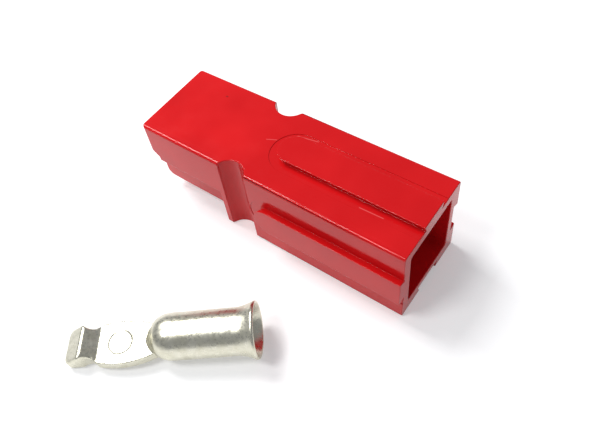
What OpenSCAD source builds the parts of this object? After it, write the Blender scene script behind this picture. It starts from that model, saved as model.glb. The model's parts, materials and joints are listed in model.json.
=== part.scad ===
// Single-pole genderless power connector: moulded housing, its leaf spring,
// and the crimp contact lying beside it.
// X runs along the housing from the mating end to the wire end, Z is up, and the
// origin is at the middle of the housing's bottom face.

/* [Housing] */
// Length of the housing
housing_len = 49.6; // [42:0.1:62]
// Side of the square section
side = 15.9; // [14.5:0.1:20]
// Radius of the long outer edges
edge_r = 0.5; // [0.2:0.1:0.8]
// Radius of the upright edges at the mating end
nose_r = 0.8; // [0.4:0.1:1.2]

/* [Mating end] */
// Depth of the mating section, from the mating face to the shoulder
mating_len = 15.5; // [13:0.5:18]
// Thickness of the hood's roof
roof_wall = 2.35; // [1.8:0.05:2.8]
// Thickness of the hood's side walls
hood_wall = 1.4; // [1.2:0.1:1.8]
// Clearance that each half of a mated pair keeps from the middle plane
mid_gap = 0.25; // [0.15:0.05:0.4]
// Running clearance between a hood and the other housing's contact rest
mate_gap = 0.15; // [0.1:0.05:0.3]
// Length of the relief at the foot of the hood's front corner
relief_len = 1.8; // [1:0.1:2.5]
// Height of the sloped part of that relief
relief_slope = 1.5; // [0.8:0.1:2]
// Height of the upright part of that relief
relief_step = 0.8; // [0.4:0.1:1.2]
// How far the contact rest stands back from the mating face
rest_setback = 0.6; // [0.3:0.1:1.5]
// Radius of the contact rest's front lower corner
rest_nose_r = 1.4; // [0.8:0.1:2]
// Thickness of the contact rest's floor
rest_floor = 2.3; // [2:0.1:2.8]
// Height of the low lip at the front of the contact rest's floor
lip_h = 0.6; // [0.3:0.1:0.9]
// Thickness of that lip
lip_t = 1.2; // [0.8:0.1:2]

/* [Passages] */
// Thickness of the partition that the contact's shoulder stops on
partition = 1.8; // [1.2:0.1:2.5]
// Length of the barrel chamber behind the partition
chamber_len = 6.2; // [5:0.2:8]
// Corner radius of the barrel chamber
chamber_r = 1.6; // [0.8:0.1:2.5]
// Clearance round the contact inside the housing
contact_gap = 0.4; // [0.2:0.1:0.6]
// Housing wall at the wire end, on the sides with a rib
rib_wall = 1.75; // [1.5:0.05:2.2]
// Housing wall at the wire end, on the sides with a groove
groove_wall = 2.5; // [2.3:0.1:3]
// Corner radius of the wire cavity
cavity_r = 0.5; // [0.2:0.1:1]

/* [Ribs and grooves] */
// Width of a dovetail rib across its outer face
rib_w = 5.5; // [4.8:0.1:6.4]
// Height of a dovetail rib
rib_h = 1.05; // [0.8:0.05:1.2]
// Undercut of each dovetail flank
undercut = 0.4; // [0.2:0.05:0.6]
// Sliding clearance of a rib in a groove, each side
slide_gap = 0.15; // [0.1:0.05:0.25]
// Distance from the shoulder back to the start of the ribs
rib_back = 7.8; // [7:0.1:12]
// Width of the sunk land on each side of a rib
land_w = 1.4; // [0.8:0.1:1.8]
// Depth of the sunk land
land_depth = 0.1; // [0.05:0.05:0.2]

/* [Pin notches] */
// Radius of the half-round notches for a locking pin
notch_r = 2.75; // [2:0.05:3]
// Distance of the notch centre outside the wall
notch_out = 0.75; // [0.5:0.05:1.2]
// Distance from the shoulder back to the notch centre
notch_back = 3.7; // [3.4:0.1:5]

/* [Spring] */
// Thickness of the spring strip
spring_t = 0.4; // [0.3:0.05:0.5]
// Width of the spring strip
spring_w = 5.6; // [4.5:0.1:6.4]
// How far the free spring stands above the blade's underside, before the blade presses it
spring_press = 0.35; // [0.1:0.05:0.6]
// Length of each flat foot of the spring
spring_foot = 1.8; // [1:0.1:3]
// Clearance between the spring's ends and what holds them
spring_gap = 0.3; // [0.2:0.1:0.6]

/* [Contact] */
// Length of the contact from its tip to its mouth
contact_len = 30.3; // [28:0.1:36]
// Outer radius of the crimp barrel
barrel_r = 3.55; // [3.2:0.05:4.3]
// Radius of the crimp bore
bore_r = 2.75; // [2.3:0.05:3]
// Distance from the tip to the barrel's shoulder
shoulder_x = 14.3; // [13.5:0.1:16.5]
// Length of the shoulder's rounding along the barrel
shoulder_len = 3; // [1.5:0.1:4]
// Depth of the shoulder's rounding across the barrel
shoulder_r = 1.9; // [1:0.1:2.2]
// Length of the neck's steep wall between the blade and the shoulder
neck_len = 1.2; // [0.8:0.1:2]
// Thickness of the metal behind the shoulder, at the bottom of the bore
bore_end = 2.2; // [1.5:0.1:3]
// Length of the flared mouth
flare_len = 3.4; // [2:0.1:4.5]
// How far the mouth flares out beyond the barrel
flare_out = 0.75; // [0.3:0.05:1]
// Thickness of the flat blade
blade_t = 1.9; // [1.6:0.1:2.1]
// Depth of the blade's underside below the barrel's axis, at the neck
blade_drop = 2.2; // [1.8:0.05:2.4]
// Half of the blade's greatest width
blade_half = 3.55; // [3.3:0.05:4.3]
// Distance from the tip to the blade's widest place
blade_wide_x = 8.8; // [8:0.1:9.5]
// Radius of the blade's bowed edges
blade_edge_r = 14.5; // [12:0.5:24]
// Diameter of the shallow round coining mark on the blade
dimple_d = 4; // [3:0.1:4.6]
// Depth of the coining mark
dimple_depth = 0.12; // [0.05:0.01:0.2]

/* [Contact tip] */
// Height of the detent ridge above the blade
ridge_h = 1.4; // [0.8:0.1:1.6]
// Distance from the tip to the foot of the ridge
ridge_foot_x = 5.3; // [4.8:0.1:5.8]
// Distance from the tip to the ridge's crest
ridge_crest_x = 2.7; // [2.2:0.1:3.2]
// Length of the ridge's crest
ridge_crest = 0.4; // [0.2:0.1:0.8]
// Half of the tip's width
tip_half = 2.85; // [2.6:0.05:3.2]
// Corner radius of the tip, seen from above
tip_corner_r = 0.9; // [0.4:0.1:1.4]
// Height of the tip's blunt end
tip_h = 1.7; // [1.3:0.1:1.9]
// Radius of the lower edge of the tip's end
tip_edge_r = 0.4; // [0.2:0.1:0.6]
// Half of the width at the waist between the tip and the blade
waist_half = 2.4; // [2.1:0.05:2.6]
// Distance from the tip to the waist
waist_x = 3.9; // [3.6:0.1:4.2]
// Radius of the waist's hollow
waist_r = 1.75; // [1.5:0.05:2.2]

/* [Layout] */
// Direction in which the loose contact lies, from the housing's own direction
contact_turn = 36.5; // [20:0.1:50]
// Distance from the housing's middle back to the contact's tip
contact_back = 14.75; // [10:0.05:25]
// Distance from the housing's middle plane out to the contact's tip
contact_out = 40.95; // [38:0.05:50]

/* [Hidden] */
$fn = 96;
fine = 0.01;
reach = 1;

mid_z = side / 2;
hood_foot_z = mid_z + mid_gap;
rail_top_z = mid_z - mid_gap;
hood_in_half = side / 2 - hood_wall;
rest_half = hood_in_half - mate_gap;
rest_base_z = roof_wall + mate_gap;
channel_z = rest_base_z + rest_floor;
blade_top = blade_t - blade_drop;
axis_z = mid_z - blade_top;
channel_half = blade_half + contact_gap / 2;
spring_rise = mid_z - blade_t - channel_z - spring_t + spring_press;
chamber_half = max(barrel_r, blade_half) + contact_gap;
window_top_z = mid_z + ridge_h + contact_gap;
chamber_x = mating_len + partition;
cavity_x = chamber_x + chamber_len;
cavity_w = side - rib_wall - groove_wall;
cavity_shift = (rib_wall - groove_wall) / 2;
groove_depth = rib_h + slide_gap;
groove_mouth = rib_w - 2 * undercut + 2 * slide_gap;
rib_start = mating_len + rib_back;
groove_start = rib_start - slide_gap;
notch_x = mating_len + notch_back;

flare_r = barrel_r + flare_out;
neck_x = shoulder_x - neck_len;
neck_half = blade_half - pow(neck_x - blade_wide_x, 2) / (2 * blade_edge_r);

// Lean at which the barrel's shoulder, an ellipse, and its flared rim both touch the table
rim_x = contact_len - (barrel_r - bore_r) / 2;
span_x = rim_x - shoulder_x - shoulder_len;
span_z = flare_r - barrel_r + shoulder_r;
lean_a = pow(span_x, 2) - pow(shoulder_len, 2);
lean_c = pow(span_z, 2) - pow(shoulder_r, 2);
lean = atan((span_x * span_z - sqrt(pow(span_x * span_z, 2) - lean_a * lean_c)) / lean_a);
contact_lift = flare_r * cos(lean) - rim_x * sin(lean);

// Bend of the blade at the neck, which brings the lower edge of its tip down to the table
neck_z = contact_lift + neck_x * sin(lean) - blade_drop * cos(lean);
nose_x = neck_x - tip_edge_r;
bend = atan(tip_edge_r / nose_x) - lean
    + asin((neck_z - tip_edge_r) / norm([nose_x, tip_edge_r]));

// 2D: rectangle from the given corner, with rounded corners
module rounded(w, h, r) {
    translate([r, 0]) square([w - 2 * r, h]);
    translate([0, r]) square([w, h - 2 * r]);
    for (x = [r, w - r], y = [r, h - r]) translate([x, y]) circle(r);
}

// Extrudes a (Y, Z) section along +X from x
module along_x(x, len) {
    translate([x, 0, 0]) rotate([90, 0, 90]) linear_extrude(len) children();
}

// Extrudes an (X, Z) profile through the whole width, both ways from Y = 0
module through_y(half) {
    translate([0, half, 0]) rotate([90, 0, 0]) linear_extrude(2 * half) children();
}

// Dovetail standing on the plane Z = 0, from x to the wire end: its start is round
module dovetail(x, foot_w, head_w, h) {
    cx = x + head_w / 2;
    translate([cx, 0, 0]) cylinder(h, foot_w / 2, head_w / 2);
    along_x(cx, housing_len - cx)
        polygon([[-foot_w / 2, 0], [foot_w / 2, 0], [head_w / 2, h], [-head_w / 2, h]]);
}

// Places a feature made on Z = 0 on each face: top, near side, far side, bottom
module on_top() { translate([0, 0, side]) children(); }
module on_near() { translate([0, -side / 2, mid_z]) rotate([90, 0, 0]) children(); }
module on_far() { translate([0, side / 2, mid_z]) rotate([-90, 0, 0]) children(); }
module on_bottom() { rotate([180, 0, 0]) children(); }

module rib() {
    translate([0, 0, -land_depth])
        dovetail(rib_start, rib_w - 2 * undercut, rib_w, rib_h + land_depth);
}

// Shallow sunk land that follows a rib's outline
module sunk_land() {
    half = rib_w / 2 + land_w;
    cx = rib_start + rib_w / 2;
    translate([0, 0, -land_depth]) {
        translate([cx, 0, 0]) cylinder(h = reach, r = half);
        translate([cx, -half, 0]) cube([housing_len - cx + reach, 2 * half, reach]);
    }
}

module groove() {
    rotate([180, 0, 0]) translate([0, 0, -fine]) {
        dovetail(groove_start, groove_mouth, rib_w + 2 * slide_gap, groove_depth + fine);
        along_x(housing_len - fine, reach)
            polygon([[-groove_mouth / 2, 0], [groove_mouth / 2, 0],
                     [rib_w / 2 + slide_gap, groove_depth + fine],
                     [-rib_w / 2 - slide_gap, groove_depth + fine]]);
    }
}

// Body behind the shoulder, square outside
module rear_body() {
    along_x(mating_len, housing_len - mating_len)
        translate([-side / 2, 0]) rounded(side, side, edge_r);
}

// Hood of the mating end: roof and two side walls down to the middle
module hood() {
    intersection() {
        along_x(0, mating_len + fine) difference() {
            translate([-side / 2, 0]) rounded(side, side, edge_r);
            translate([-side / 2, 0]) square([side, hood_foot_z]);
            translate([-hood_in_half, 0]) square([2 * hood_in_half, side - roof_wall]);
        }
        through_y(side) polygon([
            [0, side], [0, hood_foot_z + relief_slope + relief_step],
            [relief_len, hood_foot_z + relief_step], [relief_len, hood_foot_z - fine],
            [mating_len + fine, hood_foot_z - fine], [mating_len + fine, side]]);
        linear_extrude(side) translate([0, -side / 2])
            rounded(mating_len + nose_r + reach, side, nose_r);
    }
}

// Rest under the contact's blade: a cantilevered trough with two side rails
module contact_rest() {
    difference() {
        through_y(rest_half) {
            translate([rest_setback + rest_nose_r, rest_base_z])
                square([mating_len - rest_setback - rest_nose_r + fine, rail_top_z - rest_base_z]);
            translate([rest_setback, rest_base_z + rest_nose_r])
                square([rest_nose_r + fine, rail_top_z - rest_base_z - rest_nose_r]);
            translate([rest_setback + rest_nose_r, rest_base_z + rest_nose_r]) circle(rest_nose_r);
        }
        translate([rest_setback + lip_t, -channel_half, channel_z])
            cube([mating_len, 2 * channel_half, side]);
        translate([-reach, -channel_half, channel_z + lip_h])
            cube([mating_len, 2 * channel_half, side]);
    }
}

// Everything hollow inside the housing, from the partition back to the wire end
module passages() {
    translate([mating_len - reach, -channel_half, channel_z])
        cube([partition + 2 * reach, 2 * channel_half, window_top_z - channel_z]);
    along_x(chamber_x, chamber_len + fine)
        translate([-chamber_half, axis_z - chamber_half])
            rounded(2 * chamber_half, 2 * chamber_half, chamber_r);
    along_x(cavity_x, housing_len - cavity_x + reach)
        translate([cavity_shift - cavity_w / 2, groove_wall])
            rounded(cavity_w, side - rib_wall - groove_wall, cavity_r);
}

// Half-round notches through the full height, one in each side
module pin_notches() {
    for (s = [-1, 1])
        translate([notch_x, s * (side / 2 + notch_out), -reach])
            cylinder(side + 2 * reach, notch_r, notch_r);
}

module housing() {
    color([0.86, 0.08, 0.09]) translate([-housing_len / 2, 0, 0]) difference() {
        union() {
            difference() {
                rear_body();
                on_top() sunk_land();
                on_near() sunk_land();
            }
            hood();
            contact_rest();
            on_top() rib();
            on_near() rib();
        }
        passages();
        pin_notches();
        on_bottom() groove();
        on_far() groove();
    }
}

// Spring: a bowed strip that lies in the trough under the blade
module spring() {
    x0 = rest_setback + lip_t + spring_gap;
    x1 = mating_len + partition - spring_gap;
    bow0 = x0 + spring_foot;
    bow1 = x1 - spring_foot;
    steps = 24;
    curve = [for (i = [0:steps]) let (a = 360 * i / steps)
        [bow0 + (bow1 - bow0) * i / steps, spring_rise * (1 - cos(a)) / 2]];
    upper = concat([[x0, 0]], curve, [[x1, 0]]);
    lower = [for (i = [len(upper) - 1:-1:0]) upper[i] + [0, spring_t]];
    color([0.72, 0.73, 0.74]) translate([-housing_len / 2, 0, channel_z])
        through_y(spring_w / 2) polygon(concat(upper, lower));
}

// Barrel of the contact, turned about the X axis: closed shoulder, bore, flared mouth
module barrel() {
    bore_x = shoulder_x + bore_end;
    flare_x = contact_len - flare_len;
    lip_r = flare_r - (barrel_r - bore_r) / 2;
    steps = 10;
    shoulder = [for (i = [0:steps]) let (a = 90 * i / steps)
        [barrel_r - shoulder_r * (1 - sin(a)), shoulder_x + shoulder_len * (1 - cos(a))]];
    outside = [for (i = [0:steps]) let (k = i / steps)
        [barrel_r + flare_out * k * k, flare_x + (rim_x - flare_x) * k]];
    inside = [for (i = [steps:-1:0]) let (k = i / steps)
        [bore_r + (lip_r - bore_r) * k * k, flare_x + flare_len * k]];
    rotate([0, 90, 0]) rotate_extrude() polygon(concat(
        [[0, shoulder_x]], shoulder, outside, [[flare_r, contact_len]], inside,
        [[bore_r, bore_x], [0, bore_x]]));
}

// Side profile of the blade and its detent ridge, in (X, Z)
module blade_profile() {
    steps = 6;
    polygon(concat(
        [[neck_x + blade_t, 0]],
        [for (i = [0:steps]) let (a = -90 - 90 * i / steps)
            [tip_edge_r + tip_edge_r * cos(a), tip_edge_r + tip_edge_r * sin(a)]],
        [[0, tip_h], [ridge_crest_x, blade_t + ridge_h],
         [ridge_crest_x + ridge_crest, blade_t + ridge_h], [ridge_foot_x, blade_t],
         [neck_x + blade_t, blade_t]]));
}

// Outline of the blade and tip from above: bowed blade, waist, tip with round corners
module blade_plan() {
    difference() {
        union() {
            intersection() {
                translate([blade_wide_x, blade_half - blade_edge_r]) circle(blade_edge_r);
                translate([blade_wide_x, blade_edge_r - blade_half]) circle(blade_edge_r);
                translate([waist_x, -blade_half]) square([shoulder_x, 2 * blade_half]);
            }
            translate([0, -tip_half])
                rounded(waist_x + tip_corner_r, 2 * tip_half, tip_corner_r);
        }
        for (s = [-1, 1]) translate([waist_x, s * (waist_half + waist_r)]) circle(waist_r);
    }
}

// Turns what is drawn on the straight blade down about the neck, and sets it below the axis
module bent() {
    translate([neck_x, 0, -blade_drop]) rotate([0, -bend, 0]) translate([-neck_x, 0, 0])
        children();
}

module blade() {
    bent() difference() {
        intersection() {
            through_y(blade_half + reach) blade_profile();
            translate([0, 0, -side]) linear_extrude(2 * side) blade_plan();
        }
        translate([blade_wide_x, 0, blade_t - dimple_depth])
            cylinder(h = reach, d = dimple_d);
    }
}

// Steep wall where the blade's top rises into the closed end of the barrel
module neck() {
    hull() {
        bent() translate([neck_x, -neck_half, 0]) cube([fine, 2 * neck_half, blade_t]);
        translate([shoulder_x + neck_len / 2, 0, 0]) rotate([0, 90, 0])
            cylinder(h = fine, r = barrel_r - shoulder_r / 2, $fn = 32);
    }
}

// Contact as it lies on the table, resting on its tip and its flared mouth
module contact() {
    color([0.83, 0.82, 0.74])
        translate([-contact_back, -contact_out, contact_lift])
            rotate([0, 0, contact_turn]) rotate([0, -lean, 0]) {
                barrel();
                neck();
                blade();
            }
}

housing();
spring();
contact();
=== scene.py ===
"""Looks of a genderless power connector: red moulded housing, leaf spring and loose crimp contact."""
import json
import math

import bmesh
import bpy
from mathutils import Matrix, Vector


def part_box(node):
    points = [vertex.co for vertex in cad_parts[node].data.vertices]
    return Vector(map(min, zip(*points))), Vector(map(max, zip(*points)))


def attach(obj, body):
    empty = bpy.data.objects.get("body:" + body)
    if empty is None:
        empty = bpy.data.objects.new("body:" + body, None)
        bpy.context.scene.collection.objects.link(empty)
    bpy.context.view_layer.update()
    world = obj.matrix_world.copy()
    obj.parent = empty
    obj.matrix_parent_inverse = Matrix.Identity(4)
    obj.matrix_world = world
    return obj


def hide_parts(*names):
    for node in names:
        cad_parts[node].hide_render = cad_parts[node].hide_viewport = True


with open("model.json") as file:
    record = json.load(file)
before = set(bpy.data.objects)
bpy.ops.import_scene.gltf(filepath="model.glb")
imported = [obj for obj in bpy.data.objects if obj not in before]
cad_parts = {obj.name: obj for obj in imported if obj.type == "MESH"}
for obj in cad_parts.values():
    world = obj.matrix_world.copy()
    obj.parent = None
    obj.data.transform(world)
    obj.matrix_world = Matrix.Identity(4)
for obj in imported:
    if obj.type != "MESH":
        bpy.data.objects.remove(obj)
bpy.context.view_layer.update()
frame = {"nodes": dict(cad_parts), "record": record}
MM = 0.001

# Camera: where it stands, what it looks at, its roll, and the framing of the photograph
EYE = Vector((44.91, -49.06, 89.04)) * MM
TARGET = Vector((-1.78, -4.17, 8.0)) * MM
ROLL = math.radians(-11.82)
LENS_MM = 37.63
SENSOR_MM = 36
SHIFT = (0.0572, -0.0425)

# Edges of the moulding and the spring, in millimetres
EDGE_ROUND = 0.14
EDGE_ROUND_INNER = 0.07
SPRING_ROUND = 0.08
# Most of a narrow step that its rounding may take up
STEP_SHARE = 0.3
# Where the ribs begin, along X
RIB_START = -1.5
SHARP_FROM = math.radians(28)
FLAT_WITHIN = math.radians(0.3)
# Corners nearer than this are one corner, in metres
WELD = 2e-7

# Crimp contact in its own frame, in millimetres: X from the tip along the barrel's axis, Z = 0 on it
CONTACT_LEN = 30.3
BARREL_R = 3.55
BORE_R = 2.75
SHOULDER_X = 14.3
SHOULDER_LEN = 3.0
SHOULDER_R = 1.9
SHOULDER_FROM = 37
NOSE_RADII = (0.05, 0.4, 0.8, 1.2, 1.6, 2.0, 2.4)
NOSE_DEPTH = 0.369
NOSE_POWER = 1.544
BORE_X = 16.5
FLARE_LEN = 3.4
FLARE_OUT = 0.75
NECK_X = 13.1
BLADE_T = 1.9
BLADE_DROP = 2.2
BLADE_BEND = math.radians(1.633)
BLADE_HALF = 3.55
BLADE_WIDE_X = 8.8
BLADE_EDGE_R = 14.5
RIDGE_H = 1.4
RIDGE_CREST_X = (2.7, 3.1)
RIDGE_FOOT_X = 5.3
TIP_HALF = 2.85
TIP_CORNER_R = 0.9
TIP_H = 1.7
WAIST_HALF = 2.4
WAIST_X = 3.9
WAIST_R = 1.75
DIMPLE_R = 2.0
DIMPLE_DEPTH = 0.12
DIMPLE_SLOPE = 0.2
RIDGE_EDGE_ROUND = 0.45
BLADE_EDGE_ROUND = 0.12
UNDER_EDGE_ROUND = 0.4
TIP_FRONT_STEPS = 12
STATION_STEP = 0.15
STATIONS = 98
# Size of the grid that fuses the barrel and the blade, and how often the skin is smoothed
VOXEL = 0.12
SMOOTH_PASSES = 3


# ---------------------------------------------------------------- meshes

def add_piece(name, mesh, material, node):
    """New object that stands for a CAD node and wears its own material"""
    piece = bpy.data.objects.new(name, mesh)
    bpy.context.scene.collection.objects.link(piece)
    mesh.materials.clear()
    mesh.materials.append(material)
    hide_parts(node)
    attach(piece, "root")
    return piece


def reach_across(face, edge):
    """How far a face reaches from one of its edges, square to that edge"""
    start, end = (v.co for v in edge.verts)
    across = face.normal.cross(end - start).normalized()
    return max(abs((v.co - start).dot(across)) for v in face.verts)


def moulded_copy(node, round_mm):
    """Copy of a CAD node's mesh with whole flat faces and a bevel weight on each sharp edge"""
    bm = bmesh.new()
    bm.from_mesh(frame["nodes"][node].data)
    bmesh.ops.remove_doubles(bm, verts=bm.verts, dist=WELD)
    bmesh.ops.dissolve_limit(bm, angle_limit=FLAT_WITHIN, verts=bm.verts, edges=bm.edges)
    weight = bm.edges.layers.float.new("bevel_weight_edge")
    for edge in bm.edges:
        if len(edge.link_faces) != 2 or edge.calc_face_angle() < SHARP_FROM:
            continue
        most = round_mm if edge.is_convex else round_mm * EDGE_ROUND_INNER / EDGE_ROUND
        room = min(reach_across(face, edge) for face in edge.link_faces) / MM
        edge[weight] = min(most, STEP_SHARE * room) / round_mm
    for face in bm.faces:
        face.smooth = True
    mesh = bpy.data.meshes.new(node)
    bm.to_mesh(mesh)
    bm.free()
    return mesh


def keep_square(mesh):
    """In front of the ribs, brings corners of the rounding that slid outward back to the walls"""
    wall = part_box("housing")[1][1]
    for vert in mesh.vertices:
        if vert.co.x < RIB_START * MM:
            vert.co.y = max(-wall, min(wall, vert.co.y))
            vert.co.z = max(0, min(2 * wall, vert.co.z))


def rounded_mesh(mesh, round_mm, segments):
    """The mesh with its weighted edges rounded"""
    draft = bpy.data.objects.new("draft", mesh)
    bpy.context.scene.collection.objects.link(draft)
    bevel = draft.modifiers.new("rounded edges", "BEVEL")
    bevel.limit_method = "WEIGHT"
    bevel.width = round_mm * MM
    bevel.segments = segments
    bevel.use_clamp_overlap = False
    done = bpy.data.meshes.new_from_object(draft.evaluated_get(bpy.context.evaluated_depsgraph_get()))
    bpy.data.objects.remove(draft)
    return done


def keep_flat(piece):
    """Shades the flat faces flat and the rounded edges round"""
    normals = piece.modifiers.new("flat faces stay flat", "WEIGHTED_NORMAL")
    normals.weight = 80


def ring_mesh(bm, rings):
    """Closed shell through rings of equally many points, capped at both ends"""
    loops = [[bm.verts.new(Vector(p)) for p in ring] for ring in rings]
    count = len(loops[0])
    for low, high in zip(loops, loops[1:]):
        for i in range(count):
            j = (i + 1) % count
            bm.faces.new((low[i], low[j], high[j], high[i]))
    bm.faces.new(loops[0][::-1])
    bm.faces.new(loops[-1])


def barrel_rings():
    """Shoulder, barrel, trumpet mouth, round lip and bore, as circles about the X axis"""
    steps = 16
    sides = 192
    rim_x = CONTACT_LEN - 0.4
    flare_x = CONTACT_LEN - FLARE_LEN
    rim_r = BARREL_R + FLARE_OUT
    nose = [(NECK_X + NOSE_DEPTH * r ** NOSE_POWER, r) for r in NOSE_RADII]
    shoulder = []
    for i in range(steps + 1):
        turn = math.radians(SHOULDER_FROM + (90 - SHOULDER_FROM) * i / steps)
        shoulder.append((SHOULDER_X + SHOULDER_LEN * (1 - math.cos(turn)),
                         BARREL_R - SHOULDER_R * (1 - math.sin(turn))))
    outside = [(flare_x + (rim_x - flare_x) * i / steps, BARREL_R + FLARE_OUT * (i / steps) ** 2)
               for i in range(steps + 1)]
    lip = [(CONTACT_LEN - 0.12, rim_r - 0.03), (CONTACT_LEN, rim_r - 0.2),
           (CONTACT_LEN - 0.08, rim_r - 0.4)]
    lip_r = rim_r - 0.5
    inside = [(flare_x + (FLARE_LEN - 0.25) * i / steps, BORE_R + (lip_r - BORE_R) * (i / steps) ** 2)
              for i in range(steps, -1, -1)]
    bore = [(BORE_X + 0.3, BORE_R), (BORE_X, BORE_R - 0.3), (BORE_X, 0.05)]
    circle = [2 * math.pi * i / sides for i in range(sides)]
    return [[(x, r * math.cos(a), r * math.sin(a)) for a in circle]
            for x, r in nose + shoulder + outside + lip + inside + bore]


def blade_half_at(x):
    """Half width of the blade at x: round front corners, waist, bowed sides"""
    if x < TIP_CORNER_R:
        return TIP_HALF - TIP_CORNER_R + math.sqrt(TIP_CORNER_R ** 2 - (TIP_CORNER_R - x) ** 2)
    bow = BLADE_HALF - BLADE_EDGE_R + math.sqrt(BLADE_EDGE_R ** 2 - (x - BLADE_WIDE_X) ** 2)
    half = TIP_HALF if x < WAIST_X else bow
    if abs(x - WAIST_X) < WAIST_R:
        waist = WAIST_HALF + WAIST_R - math.sqrt(WAIST_R ** 2 - (x - WAIST_X) ** 2)
        half = min(half, waist)
    return half


def blade_top_at(x):
    """Height of the blade's top at x: blunt tip, detent ridge, flat blade"""
    crest0, crest1 = RIDGE_CREST_X
    crest = BLADE_T + RIDGE_H
    if x < crest0:
        return TIP_H + (crest - TIP_H) * x / crest0
    if x < crest1:
        return crest
    if x < RIDGE_FOOT_X:
        return BLADE_T + RIDGE_H * (RIDGE_FOOT_X - x) / (RIDGE_FOOT_X - crest1)
    return BLADE_T


def blade_rings():
    """Sections of the blade from the tip back into the barrel, as rectangles with round corners"""
    steps = 5
    front = [TIP_CORNER_R * (i / TIP_FRONT_STEPS) ** 2 for i in range(TIP_FRONT_STEPS + 1)]
    stations = front + [TIP_CORNER_R + STATION_STEP * i for i in range(1, STATIONS + 1)]
    rings = []
    for x in stations:
        half, top = blade_half_at(x), blade_top_at(x)
        soft = RIDGE_EDGE_ROUND if x < RIDGE_FOOT_X - 0.6 else BLADE_EDGE_ROUND
        under = UNDER_EDGE_ROUND * min(1, 0.3 + x)
        ring = []
        for side, level, radius, start in ((1, top, soft, 0), (-1, top, soft, 90),
                                           (-1, 0, under, 180), (1, 0, under, 270)):
            up = -1 if level else 1
            for i in range(steps + 1):
                a = math.radians(start + 90 * i / steps)
                ring.append((x, side * (half - radius) + radius * math.cos(a),
                             level + up * radius + radius * math.sin(a)))
        rings.append(ring)
    return rings


def bent():
    """Turns the straight blade down about the neck and sets it below the barrel's axis"""
    neck = Matrix.Translation((NECK_X, 0, -BLADE_DROP))
    return neck @ Matrix.Rotation(-BLADE_BEND, 4, "Y") @ Matrix.Translation((-NECK_X, 0, 0))


def contact_place():
    """The contact's own frame in millimetres, from the crimp bore's mount in the record"""
    mount = next(m for m in frame["record"]["mounts"] if m["name"] == "crimp_barrel")
    along = Vector(mount["axis"]).normalized()
    side = Vector((0, 0, 1)).cross(along).normalized()
    up = along.cross(side)
    middle = (BORE_X + CONTACT_LEN - FLARE_LEN) / 2
    tip = Vector(mount["pos_m"]) - along * middle * MM
    turn = Matrix((along, side, up)).transposed().to_4x4()
    return Matrix.Translation(tip) @ turn @ Matrix.Scale(MM, 4)


def contact_mesh():
    """Barrel and blade fused into one skin, with soft edges and the round coining mark"""
    bm = bmesh.new()
    ring_mesh(bm, barrel_rings())
    bend = bent()
    ring_mesh(bm, [[bend @ Vector(p) for p in ring] for ring in blade_rings()])
    bmesh.ops.recalc_face_normals(bm, faces=bm.faces)
    rough = bpy.data.meshes.new("contact_rough")
    bm.to_mesh(rough)
    bm.free()
    shell = bpy.data.objects.new("contact_rough", rough)
    bpy.context.scene.collection.objects.link(shell)
    remesh = shell.modifiers.new("fuse", "REMESH")
    remesh.mode = "VOXEL"
    remesh.voxel_size = VOXEL
    mesh = bpy.data.meshes.new_from_object(shell.evaluated_get(bpy.context.evaluated_depsgraph_get()))
    bpy.data.objects.remove(shell)
    bm = bmesh.new()
    bm.from_mesh(mesh)
    for _ in range(SMOOTH_PASSES):
        bmesh.ops.smooth_vert(bm, verts=bm.verts, factor=0.5,
                              use_axis_x=True, use_axis_y=True, use_axis_z=True)
    straight = bend.inverted()
    for vert in bm.verts:
        flat = straight @ vert.co
        from_mark = math.hypot(flat.x - BLADE_WIDE_X, flat.y)
        if flat.z > BLADE_T / 2 and from_mark < DIMPLE_R:
            depth = min(1, (DIMPLE_R - from_mark) / DIMPLE_SLOPE) * DIMPLE_DEPTH
            vert.co -= bend.to_3x3() @ Vector((0, 0, depth))
    bmesh.ops.transform(bm, matrix=contact_place(), verts=bm.verts)
    for vert in bm.verts:
        vert.co.z = max(0, vert.co.z)
    for face in bm.faces:
        face.smooth = True
    mesh.name = "contact"
    bm.to_mesh(mesh)
    bm.free()
    return mesh


# ---------------------------------------------------------------- materials

# Scratches on the housing's top and one dark speck: start, end and width in millimetres
SCRATCHES = (((-0.6, 3.3, 15.8), (2.9, 3.9, 15.8), 0.12),
             ((-4.5, 0.2, 15.9), (-3.0, 0.9, 15.9), 0.10),
             ((15.0, -3.6, 15.8), (18.8, -3.5, 15.8), 0.12))
SPECK = ((-16.4, 4.7, 15.9), (-16.2, 4.7, 15.9), 0.22)

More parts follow.
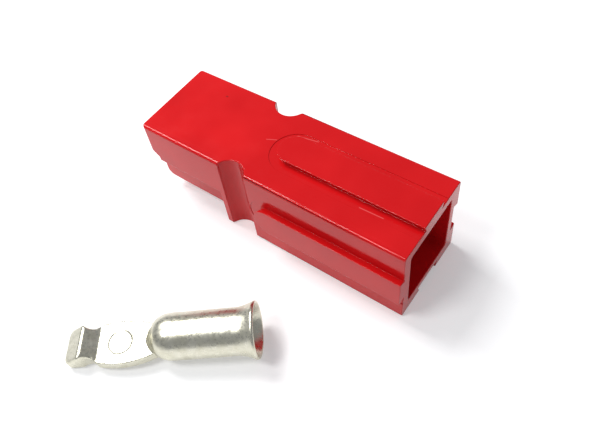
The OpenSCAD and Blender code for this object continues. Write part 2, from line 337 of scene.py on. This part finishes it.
class Nodes:
    """Short hand for building a material's node tree"""

    def __init__(self, name):
        self.material = bpy.data.materials.new(name)
        self.material.use_nodes = True
        self.tree = self.material.node_tree
        self.shader = self.tree.nodes["Principled BSDF"]
        self.place = self.tree.nodes.new("ShaderNodeTexCoord").outputs["Object"]

    def add(self, kind, inputs=None, **settings):
        node = self.tree.nodes.new("ShaderNode" + kind)
        for key, value in settings.items():
            setattr(node, key, value)
        for key, value in (inputs or {}).items():
            if isinstance(value, bpy.types.NodeSocket):
                self.tree.links.new(value, node.inputs[key])
            else:
                node.inputs[key].default_value = value
        return node

    def noise(self, per_mm, detail=2.0, rough=0.5):
        return self.add("TexNoise", {"Vector": self.place, "Scale": per_mm / MM, "Detail": detail,
                                     "Roughness": rough}).outputs["Fac"]

    def spread(self, value, low, high, to_low, to_high):
        """Maps low..high of a value to to_low..to_high, clamped"""
        return self.add("MapRange", {"Value": value, "From Min": low, "From Max": high,
                                     "To Min": to_low, "To Max": to_high}).outputs["Result"]

    def mix(self, fac, a, b):
        node = self.add("Mix", data_type="RGBA")
        for index, value in ((0, fac), (6, a), (7, b)):
            if isinstance(value, bpy.types.NodeSocket):
                self.tree.links.new(value, node.inputs[index])
            else:
                node.inputs[index].default_value = value
        return node.outputs[2]

    def bump(self, height, depth_mm, before=None):
        inputs = {"Height": height, "Distance": depth_mm * MM, "Strength": 1.0}
        if before:
            inputs["Normal"] = before
        return self.add("Bump", inputs).outputs["Normal"]

    def link(self, value, socket):
        self.tree.links.new(value, self.shader.inputs[socket])

    def scratch(self, start, end, width):
        """1 on a straight scratch from start to end, both in millimetres, falling to 0 beside it"""
        start, along = Vector(start) * MM, (Vector(end) - Vector(start)) * MM
        off = self.add("VectorMath", {0: self.place, 1: start}, operation="SUBTRACT").outputs["Vector"]
        dot = self.add("VectorMath", {0: off, 1: along}, operation="DOT_PRODUCT").outputs["Value"]
        share = self.spread(dot, 0, along.length_squared, 0, 1)
        step = self.add("VectorMath", {0: along, "Scale": share}, operation="SCALE").outputs["Vector"]
        gap = self.add("VectorMath", {0: off, 1: step}, operation="DISTANCE").outputs["Value"]
        return self.spread(gap, 0, width * MM, 1, 0)


def red_plastic():
    n = Nodes("red_plastic")
    n.shader.inputs["Specular IOR Level"].default_value = 0.24
    cloud = n.noise(0.09, 2)
    color = n.mix(n.spread(cloud, 0.35, 0.65, 0, 1), (0.56, 0.006, 0.008, 1), (0.64, 0.009, 0.011, 1))
    for start, end, width in SCRATCHES:
        color = n.mix(n.scratch(start, end, width), color, (0.72, 0.10, 0.10, 1))
    n.link(n.mix(n.scratch(*SPECK), color, (0.20, 0.01, 0.01, 1)), "Base Color")
    smear = n.noise(0.35, 4, 0.6)
    n.link(n.spread(smear, 0.3, 0.7, 0.1, 0.2), "Roughness")
    grain = n.bump(n.noise(5.0, 3), 0.0025)
    n.link(n.bump(n.noise(0.25, 1), 0.006, grain), "Normal")
    return n.material


def silver_plate():
    n = Nodes("silver_plate")
    n.shader.inputs["Metallic"].default_value = 1
    cloud = n.noise(0.5, 4, 0.6)
    color = n.mix(n.spread(cloud, 0.35, 0.65, 0, 1), (0.60, 0.58, 0.46, 1), (0.70, 0.68, 0.57, 1))
    n.link(color, "Base Color")
    n.link(n.spread(n.noise(2.2, 4, 0.65), 0.3, 0.7, 0.22, 0.42), "Roughness")
    grain = n.bump(n.noise(4.0, 3, 0.6), 0.012)
    n.link(n.bump(n.noise(1.1, 2), 0.03, grain), "Normal")
    return n.material


def spring_steel():
    n = Nodes("spring_steel")
    n.shader.inputs["Metallic"].default_value = 1
    n.link(n.mix(n.noise(0.8, 3), (0.50, 0.50, 0.50, 1), (0.62, 0.62, 0.61, 1)), "Base Color")
    n.link(n.spread(n.noise(6, 2), 0.3, 0.7, 0.2, 0.36), "Roughness")
    n.link(n.bump(n.noise(8, 2), 0.002), "Normal")
    return n.material


# ---------------------------------------------------------------- camera, floor and light

FLOOR_SIZE = 6
FLOOR_GLOW = 0.3

def add_camera():
    data = bpy.data.cameras.new("camera")
    data.lens = LENS_MM
    data.sensor_width = SENSOR_MM
    data.shift_x, data.shift_y = SHIFT
    data.clip_start = 0.005
    camera = bpy.data.objects.new("camera", data)
    bpy.context.scene.collection.objects.link(camera)
    look = (TARGET - EYE).to_track_quat("-Z", "Y").to_matrix().to_4x4()
    camera.matrix_world = Matrix.Translation(EYE) @ look @ Matrix.Rotation(ROLL, 4, "Z")
    bpy.context.scene.camera = camera


def add_floor():
    """White floor: it keeps shadows, and shows white to the camera and in reflections"""
    bpy.ops.mesh.primitive_plane_add(size=FLOOR_SIZE, location=(0, 0, 0))
    floor = bpy.context.object
    floor.name = "floor"
    material = bpy.data.materials.new("floor")
    material.use_nodes = True
    nodes = material.node_tree.nodes
    links = material.node_tree.links
    nodes.clear()
    out = nodes.new("ShaderNodeOutputMaterial")
    plain = nodes.new("ShaderNodeBsdfDiffuse")
    plain.inputs["Color"].default_value = (0.8, 0.8, 0.8, 1)
    glow = nodes.new("ShaderNodeEmission")
    glow.inputs["Strength"].default_value = FLOOR_GLOW
    add = nodes.new("ShaderNodeAddShader")
    mix = nodes.new("ShaderNodeMixShader")
    path = nodes.new("ShaderNodeLightPath")
    direct = nodes.new("ShaderNodeMath")
    direct.operation = "MAXIMUM"
    shown = nodes.new("ShaderNodeMath")
    shown.operation = "MAXIMUM"
    links.new(path.outputs["Is Camera Ray"], direct.inputs[0])
    links.new(path.outputs["Is Glossy Ray"], direct.inputs[1])
    links.new(direct.outputs[0], shown.inputs[0])
    links.new(path.outputs["Is Transmission Ray"], shown.inputs[1])
    links.new(plain.outputs[0], add.inputs[0])
    links.new(glow.outputs[0], add.inputs[1])
    links.new(shown.outputs[0], mix.inputs["Fac"])
    links.new(plain.outputs[0], mix.inputs[1])
    links.new(add.outputs[0], mix.inputs[2])
    links.new(mix.outputs[0], out.inputs["Surface"])
    floor.data.materials.append(material)


def add_world():
    world = bpy.data.worlds.new("world")
    bpy.context.scene.world = world
    world.use_nodes = True
    back = world.node_tree.nodes["Background"]
    back.inputs["Color"].default_value = (0.9, 0.93, 1, 1)
    back.inputs["Strength"].default_value = 0.35


def add_lamp(name, place, size, power, aim=(0, 0, 0)):
    data = bpy.data.lights.new(name, "AREA")
    data.shape = "SQUARE"
    data.size = size
    data.energy = power
    lamp = bpy.data.objects.new(name, data)
    bpy.context.scene.collection.objects.link(lamp)
    lamp.location = place
    lamp.rotation_euler = (Vector(aim) - Vector(place)).to_track_quat("-Z", "Y").to_euler()


red = red_plastic()
silver = silver_plate()
steel = spring_steel()
for node, material in (("housing", red), ("contact", silver), ("spring", steel)):
    for slot in frame["nodes"][node].material_slots:
        slot.material = material

housing_mesh = rounded_mesh(moulded_copy("housing", EDGE_ROUND), EDGE_ROUND, 3)
keep_square(housing_mesh)
spring_mesh = rounded_mesh(moulded_copy("spring", SPRING_ROUND), SPRING_ROUND, 2)
keep_flat(add_piece("moulded_housing", housing_mesh, red, "housing"))
keep_flat(add_piece("leaf_spring", spring_mesh, steel, "spring"))
add_piece("crimp_contact", contact_mesh(), silver, "contact")

add_camera()
add_floor()
add_world()
add_lamp("key", (-0.20, 0.016, 0.30), 0.13, 0.93)
add_lamp("strip", (-0.11, -0.17, 0.36), 0.10, 0.6)
bpy.context.scene.view_settings.view_transform = "Standard"
